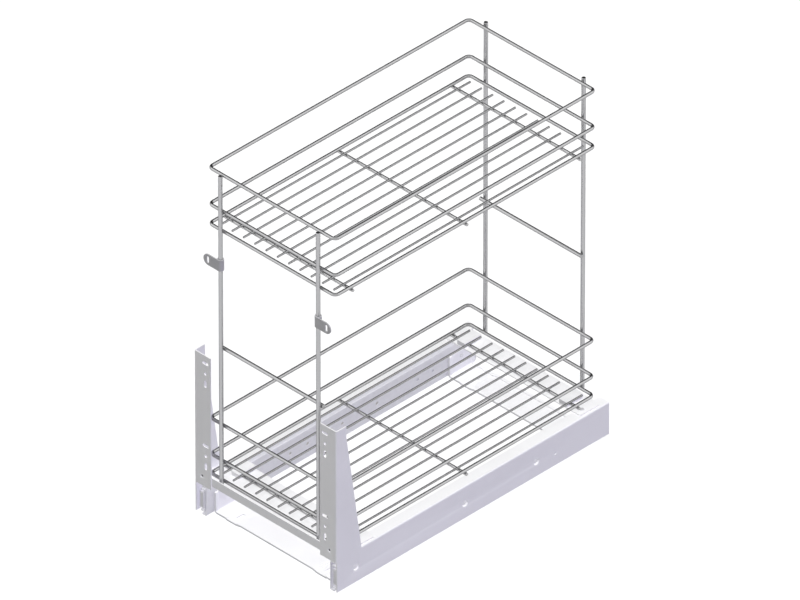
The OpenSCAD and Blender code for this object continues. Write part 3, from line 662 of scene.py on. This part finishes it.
def put_beads(name, groups):
    """Balls P(t, a) = centre + size * (sin t cos a, sin t sin a, cos t), all at once.
    groups is a list of (centres, size). The poles are cut off flat at a small angle."""
    a = np.linspace(0, 2 * np.pi, BEAD_SIDES, endpoint=False)
    t = np.linspace(POLE_GAP, np.pi - POLE_GAP, BEAD_ROWS)
    unit = np.stack([np.sin(t)[:, None] * np.cos(a), np.sin(t)[:, None] * np.sin(a),
                     np.cos(t)[:, None] * np.ones(BEAD_SIDES)], -1).reshape(-1, 3)
    centres = np.concatenate([spots for spots, _ in groups])
    sizes = np.concatenate([np.tile(size, (len(spots), 1)) for spots, size in groups])
    points = (centres[:, None, :] + unit[None] * sizes[:, None, :]).reshape(-1, 3)
    faces = repeat_faces(grid_faces(BEAD_ROWS, BEAD_SIDES), len(centres), len(unit))
    put_mesh(name, points, faces, "carriage", WELD_METAL)
    return len(centres)


# %% Welds
FLOOR_BEAD = (1.5 * MM, 1.5 * MM, 0.8 * MM)
LOOP_BEAD = (1.9 * MM, 1.9 * MM, 0.9 * MM)
POST_BEAD = (2.0 * MM, 0.9 * MM, 1.9 * MM)
ROD_BEAD = (2.0 * MM, 0.9 * MM, 2.0 * MM)


def crossings(xs, ys, z):
    """Points at every pair of an x and a y, at one height."""
    grid = np.stack(np.meshgrid(xs, ys, indexing="ij"), -1).reshape(-1, 2)
    return np.column_stack([grid, np.full(len(grid), z)])


def basket_welds(basket):
    """Beads where floor and cross wires, cross wires and loop, and loops and posts meet."""
    floor_low, floor_high = node_box(f"{basket}_floor_wires")
    cross_low, cross_high = node_box(f"{basket}_cross_wires")
    loop_low, loop_high = node_box(f"{basket}_bottom_loop")
    floor_xs = spread(floor_low[0], floor_high[0], FLOOR_R, FLOOR_WIRES)
    loop_xs = spread(loop_low[0], loop_high[0], LOOP_R, 2)
    post_xs = [node_box(f"front_{hand}_post")[0][0] + POST_R for hand in HANDS]
    cross_ys = spread(cross_low[1], cross_high[1], CROSS_R, CROSS_WIRES)
    seam = (cross_high[2] + floor_low[2]) / 2
    groups = [(crossings(floor_xs, cross_ys, seam), FLOOR_BEAD),
              (crossings(loop_xs, cross_ys, seam), LOOP_BEAD)]
    for level in LEVELS:
        low, high = node_box(f"{basket}_{level}_loop")
        outer_ys = [low[1], high[1]]
        groups.append((crossings(post_xs, outer_ys, (low[2] + high[2]) / 2), POST_BEAD))
    return put_beads(f"{basket}_welds", groups)


def rod_welds():
    """Beads where the ends of the two cross rods meet the posts."""
    centres = []
    for end in ENDS:
        rod_low, rod_high = node_box(f"{end}_cross_rod")
        for hand in HANDS:
            low, high = node_box(f"{end}_{hand}_post")
            y = high[1] if end == "front" else low[1]
            centres.append([(low[0] + high[0]) / 2, y, (rod_low[2] + rod_high[2]) / 2])
    return put_beads("rod_welds", [(np.array(centres), ROD_BEAD)])


print("welds:", basket_welds("lower") + basket_welds("upper") + rod_welds())

# %% [markdown]
# ## Sheet, rails and moulded pieces
# These have the right shape already. On the real parts every sheared edge is broken by
# a small radius that catches the light. Drawing each piece anew would risk its size. A
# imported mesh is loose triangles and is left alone, so a copy is merged, its flat faces are
# joined, and a Bevel modifier rounds the edges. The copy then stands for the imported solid.

# %% Softening helper
MERGE_WITHIN = 0.002 * MM
FLAT_WITHIN = math.radians(0.6)
SHARP_FROM = math.radians(35)
BEVEL_SEGMENTS = 2


def soften(node, body, material, width):
    """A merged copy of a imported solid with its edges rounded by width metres."""
    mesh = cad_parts[node].data.copy()
    mesh.name = node + "_skin"
    work = bmesh.new()
    work.from_mesh(mesh)
    bmesh.ops.remove_doubles(work, verts=work.verts, dist=MERGE_WITHIN)
    bmesh.ops.dissolve_limit(work, angle_limit=FLAT_WITHIN, verts=work.verts,
                             edges=work.edges, use_dissolve_boundaries=False)
    work.to_mesh(mesh)
    work.free()
    mesh.materials.clear()
    mesh.materials.append(material)
    mesh.polygons.foreach_set("use_smooth", np.ones(len(mesh.polygons), bool))
    mesh.set_sharp_from_angle(angle=SHARP_FROM)
    piece = bpy.data.objects.new(node + "_skin", mesh)
    bpy.context.scene.collection.objects.link(piece)
    edge = piece.modifiers.new("edges", "BEVEL")
    edge.width = width
    edge.segments = BEVEL_SEGMENTS
    edge.limit_method = "ANGLE"
    edge.angle_limit = SHARP_FROM
    edge.harden_normals = False
    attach(piece, body)
    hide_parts(node)
    return piece


# %% Softened copies
SHEET_EDGE = 0.25 * MM
STEEL_EDGE = 0.2 * MM
BUFFER_EDGE = 0.6 * MM
STOP_EDGE = 0.5 * MM
CLIP_EDGE = 0.8 * MM
SHEETS = {"base": ["base_front_plate", "base_back_plate"],
          "carriage": ["left_side_panel", "right_side_panel", "front_cross_member",
                       "back_cross_plate"]}
skins = [soften(node, body, COATED_SHEET, SHEET_EDGE)
         for body, nodes in SHEETS.items() for node in nodes]
for hand in HANDS:
    skins += [
        soften(f"{hand}_cabinet_rail", "base", ZINC_RAIL, STEEL_EDGE),
        soften(f"{hand}_middle_rail", f"{hand}_middle", ZINC_RAIL, STEEL_EDGE),
        soften(f"{hand}_carriage_rail", "carriage", ZINC_RAIL, STEEL_EDGE),
        soften(f"{hand}_door_tab", "carriage", TAB_COAT, STEEL_EDGE),
        soften(f"{hand}_rail_buffer", "base", BUFFER_RUBBER, BUFFER_EDGE),
        soften(f"{hand}_front_stop", "carriage", CLIP_PLASTIC, STOP_EDGE)]
skins += [soften(f"{end}_{hand}_clip", "carriage", CLIP_PLASTIC, CLIP_EDGE)
          for end in ENDS for hand in HANDS]
print("softened copies:", len(skins))

# %% [markdown]
# ## Blind rivets
# The uprights are held by countersunk blind rivets. Such a rivet is a sleeve with a hole
# down its middle, and the broken end of its mandrel sits a little way inside. It could be
# cut from cylinders, but both are turned shapes, so a profile of radius and depth is
# carried round the rivet's axis and every face has its place.

# %% Turning helper
TURN_SIDES = 32
AXIS_R = 0.05 * MM
CREASE = math.radians(40)


def turned(name, centre, profile, material, stands_for=()):
    """Surface P(k, a) = centre + (r_k cos a, y_k, r_k sin a) for a profile of (r, y)
    pairs that starts and ends at the smallest radius, where a flat face closes it."""
    r, y = np.array(profile).T[:, :, None]
    angle = np.linspace(0, 2 * np.pi, TURN_SIDES, endpoint=False)[None]
    points = np.stack([r * np.cos(angle), y + 0 * angle, r * np.sin(angle)], -1)
    piece = put_mesh(name, (centre + points).reshape(-1, 3),
                     grid_faces(len(profile), TURN_SIDES), "carriage",
                     material, stands_for)
    piece.data.set_sharp_from_angle(angle=CREASE)


# %% Sleeves and mandrels
def blind_rivets(node):
    """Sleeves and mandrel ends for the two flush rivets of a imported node, whose heads
    lie in its front face. Depths count from there towards the tail."""
    low, high = node_box(node)
    head_r, length = (high[2] - low[2]) / 2, high[1] - low[1]
    rim_r, edge_r, edge_depth = head_r - 0.2 * MM, head_r - 0.05 * MM, 0.1 * MM
    mouth_r, mouth_depth = 2.65 * MM, 0.03 * MM
    hole_r, dish_depth, hole_depth = 1.9 * MM, 0.75 * MM, 1.9 * MM
    shank_r, cone_depth = 2.1 * MM, 1.05 * MM
    tail_r, tail_l, tail_edge, flare = 2.8 * MM, 0.75 * MM, 0.2 * MM, 0.05 * MM
    sleeve = [(AXIS_R, hole_depth), (hole_r, hole_depth), (hole_r, dish_depth),
              (mouth_r, mouth_depth), (rim_r, 0.0), (edge_r, edge_depth),
              (shank_r, cone_depth), (shank_r, length - tail_l - flare),
              (tail_r, length - tail_l), (tail_r, length - tail_edge),
              (tail_r - tail_edge, length), (AXIS_R, length)]
    mandrel_r, mandrel_edge, mandrel_top = 1.8 * MM, 0.2 * MM, 0.85 * MM
    crown, seat = 0.05 * MM, 0.02 * MM
    mandrel = [(AXIS_R, mandrel_top), (mandrel_r - mandrel_edge, mandrel_top + crown),
               (mandrel_r, mandrel_top + mandrel_edge), (mandrel_r, hole_depth + seat),
               (AXIS_R, hole_depth + seat)]
    z = (low[2] + high[2]) / 2
    for hand, x in (("left", low[0] + head_r), ("right", high[0] - head_r)):
        centre = np.array((x, low[1], z))
        turned(f"{hand}_rivet_sleeve", centre, sleeve, RIVET_STEEL, [node])
        # The mandrel is a real part, and its near-black colour is painted shade in the rivet's
        # hole.
        turned(f"{hand}_rivet_mandrel", centre, mandrel, MANDREL_PAINTED_SHADE)
    print("rivet, mm: head", round(2 * head_r / MM, 1), "length", round(length / MM, 1))


blind_rivets("upright_rivets")

# %% [markdown]
# ## Small steel pieces
# Rivets under the carriage, cages and balls are small or lie inside the runners. New
# surfaces would add nothing to them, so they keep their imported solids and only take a
# finish of their own.

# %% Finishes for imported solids
KEPT = {"cabinet_rail_rivets": RIVET_STEEL, "carriage_rail_rivets": RIVET_STEEL,
        "back_plate_rivets": RIVET_STEEL, "clip_rivets": RIVET_STEEL}
for hand in HANDS:
    for ring in ("outer", "inner"):
        KEPT[f"{hand}_{ring}_cage"] = CAGE_STEEL
        KEPT[f"{hand}_{ring}_balls"] = BALL_STEEL
for node, material in KEPT.items():
    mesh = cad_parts[node].data
    mesh.materials.clear()
    mesh.materials.append(material)
print("kept solids:", len(KEPT))

# %% [markdown]
# ## Floor
# The unit stands on a plain pale floor. The floor is one flat disc, big enough that its
# rim is never seen. To the camera and in reflections it is nearly white. To other rays it
# is mid grey, so that it doesn't throw too much light up into the object.

# %% Floor disc
FLOOR_RADIUS = 9.0
FLOOR_SEEN = (0.90, 0.90, 0.90)
FLOOR_UNSEEN = (0.36, 0.36, 0.36)


def pale_floor():
    finish, tree, shader, _ = new_finish("pale floor", specular=0.0)
    shader.inputs["Roughness"].default_value = 1.0
    path = tree.nodes.new("ShaderNodeLightPath")
    seen = math_node(tree, "MAXIMUM", path.outputs["Is Camera Ray"],
                     path.outputs["Is Glossy Ray"])
    colour = blend_colours(tree, seen, FLOOR_UNSEEN, FLOOR_SEEN)
    link(tree, colour, shader.inputs["Base Color"])
    return finish


def floor_disc(sides=96):
    """One flat face: P(a) = radius * (cos a, sin a, 0)."""
    angle = np.linspace(0, 2 * np.pi, sides, endpoint=False)
    points = np.column_stack([FLOOR_RADIUS * np.cos(angle), FLOOR_RADIUS * np.sin(angle),
                              np.zeros(sides)])
    mesh = bpy.data.meshes.new("floor")
    mesh.from_pydata(points.tolist(), [], [list(range(sides))])
    floor = bpy.data.objects.new("floor", mesh)
    bpy.context.scene.collection.objects.link(floor)
    mesh.materials.append(pale_floor())
    print("floor, m across:", 2 * FLOOR_RADIUS)


floor_disc()

# %% [markdown]
# ## World
# The studio is white all round, to the camera and in reflections, and gives little light
# of its own. One patch of it is a dark card, which only reflections see. It stands to the
# left behind the unit and draws the dark line along the upper edge of every wire. Without
# such a card, bright metal in a white room has no edges at all.

# %% Studio world
WORLD_FILL = 0.15
CARD_TOWARD = Vector((-0.65, 0.72, 0.22)).normalized()
CARD_RIM, CARD_CORE = 0.60, 0.80
CARD_LEVEL = 0.06


def studio_world():
    """Strength is the fill, or 1 where it is seen. In reflections the cosine between a
    ray and the card's direction darkens it, from the card's rim to its core."""
    world = bpy.data.worlds.new("studio")
    bpy.context.scene.world = world
    world.use_nodes = True
    tree = world.node_tree
    back = tree.nodes["Background"]
    back.inputs["Color"].default_value = (1, 1, 1, 1)
    path = tree.nodes.new("ShaderNodeLightPath")
    mirrored = math_node(tree, "MAXIMUM", path.outputs["Is Glossy Ray"],
                         path.outputs["Is Transmission Ray"])
    seen = math_node(tree, "MAXIMUM", path.outputs["Is Camera Ray"], mirrored)
    where = tree.nodes.new("ShaderNodeTexCoord")
    facing = tree.nodes.new("ShaderNodeVectorMath")
    facing.operation = "DOT_PRODUCT"
    facing.inputs[1].default_value = CARD_TOWARD
    link(tree, where.outputs["Generated"], facing.inputs[0])
    card = ramp_node(tree, facing.outputs["Value"], CARD_RIM, CARD_CORE)
    covered = math_node(tree, "MULTIPLY", path.outputs["Is Glossy Ray"], card)
    light = ramp_node(tree, seen, 0.0, 1.0, WORLD_FILL, 1.0)
    shade = ramp_node(tree, covered, 0.0, 1.0, 1.0, CARD_LEVEL)
    link(tree, math_node(tree, "MULTIPLY", light, shade), back.inputs["Strength"])
    print("world fill:", WORLD_FILL, "card level:", CARD_LEVEL)


studio_world()

# %% [markdown]
# ## Lamps
# The photograph is lit so evenly that it has almost no shadows: faces turned up are
# white, faces turned right are a cool pale grey and front faces are mid grey. Area lamps
# would fall off over the unit, so each direction gets one wide sun lamp. Most of the light
# casts no shadow, as inside a large tent of white cloth, and the overhead lamp keeps a
# soft shadow on the floor. Three more lamps are seen only in reflections: they draw the
# bright line along the middle of every round wire.

# %% Lamps
TENT_SPREAD = 30
COOL_WHITE = (0.745, 0.70, 1.0)


def wide_lamp(name, toward, strength, spread_deg, colour=(1, 1, 1)):
    """A sun lamp whose light comes from the direction toward, over a wide cone."""
    lamp = bpy.data.lights.new(name, "SUN")
    lamp.energy = strength
    lamp.angle = math.radians(spread_deg)
    lamp.color = colour
    holder = bpy.data.objects.new(name, lamp)
    bpy.context.scene.collection.objects.link(holder)
    holder.rotation_mode = "QUATERNION"
    holder.rotation_quaternion = Vector(toward).to_track_quat("Z", "Y")
    print("lamp:", name, strength)
    return holder


def tent_lamp(name, toward, strength, colour=(1, 1, 1)):
    """Even light from one side: no shadows, and nothing to see in reflections."""
    holder = wide_lamp(name, toward, strength, TENT_SPREAD, colour)
    holder.data.use_shadow = False
    holder.visible_glossy = False


def gloss_lamp(name, toward, strength, spread_deg):
    """A white panel that only shows in reflections."""
    holder = wide_lamp(name, toward, strength, spread_deg)
    holder.data.use_shadow = False
    holder.visible_diffuse = False


wide_lamp("overhead lamp", (0.15, -0.1, 1.0), 0.55, 70).visible_glossy = False
tent_lamp("top tent", (0.0, 0.0, 1.0), 2.62)
tent_lamp("right tent", (1.0, 0.0, 0.0), 1.02, COOL_WHITE)
tent_lamp("front tent", (0.0, -1.0, 0.0), 0.30)
tent_lamp("left tent", (-1.0, 0.0, 0.0), 0.5)
tent_lamp("back tent", (0.0, 1.0, 0.0), 0.5)
gloss_lamp("gloss over crosswise wires", (-0.58, -0.66, 0.48), 0.5, 58)
gloss_lamp("gloss over lengthwise wires", (0.66, 0.58, 0.48), 0.5, 58)
gloss_lamp("gloss over upright posts", (1.0, -1.0, -1.0), 0.35, 74)

# %% [markdown]
# ## Camera
# The photograph is a parallel view from 45 degrees to the right and 35.26 degrees up,
# which makes all three axes equally long. A very long lens from far away is as good as
# parallel, and unlike a parallel camera it still frames the unit when it is pulled out.

# %% Camera
VIEW_WIDTH = 1.04
LENS = 1200.0
SENSOR = 36.0
LOOK_AT = Vector((-0.00093, -0.00353, 0.28277))
NEAREST = 1.0


def long_camera():
    data = bpy.data.cameras.new("camera")
    data.lens = LENS
    data.sensor_width = SENSOR
    distance = VIEW_WIDTH * LENS / SENSOR
    data.clip_start, data.clip_end = NEAREST, 2 * distance
    camera = bpy.data.objects.new("camera", data)
    bpy.context.scene.collection.objects.link(camera)
    toward = Vector((1.0, -1.0, 1.0)).normalized()
    camera.location = LOOK_AT + toward * distance
    camera.rotation_mode = "QUATERNION"
    camera.rotation_quaternion = (-toward).to_track_quat("-Z", "Y")
    bpy.context.scene.camera = camera
    print("camera, m away:", round(distance, 2))


long_camera()
bpy.context.scene.view_settings.view_transform = "Standard"
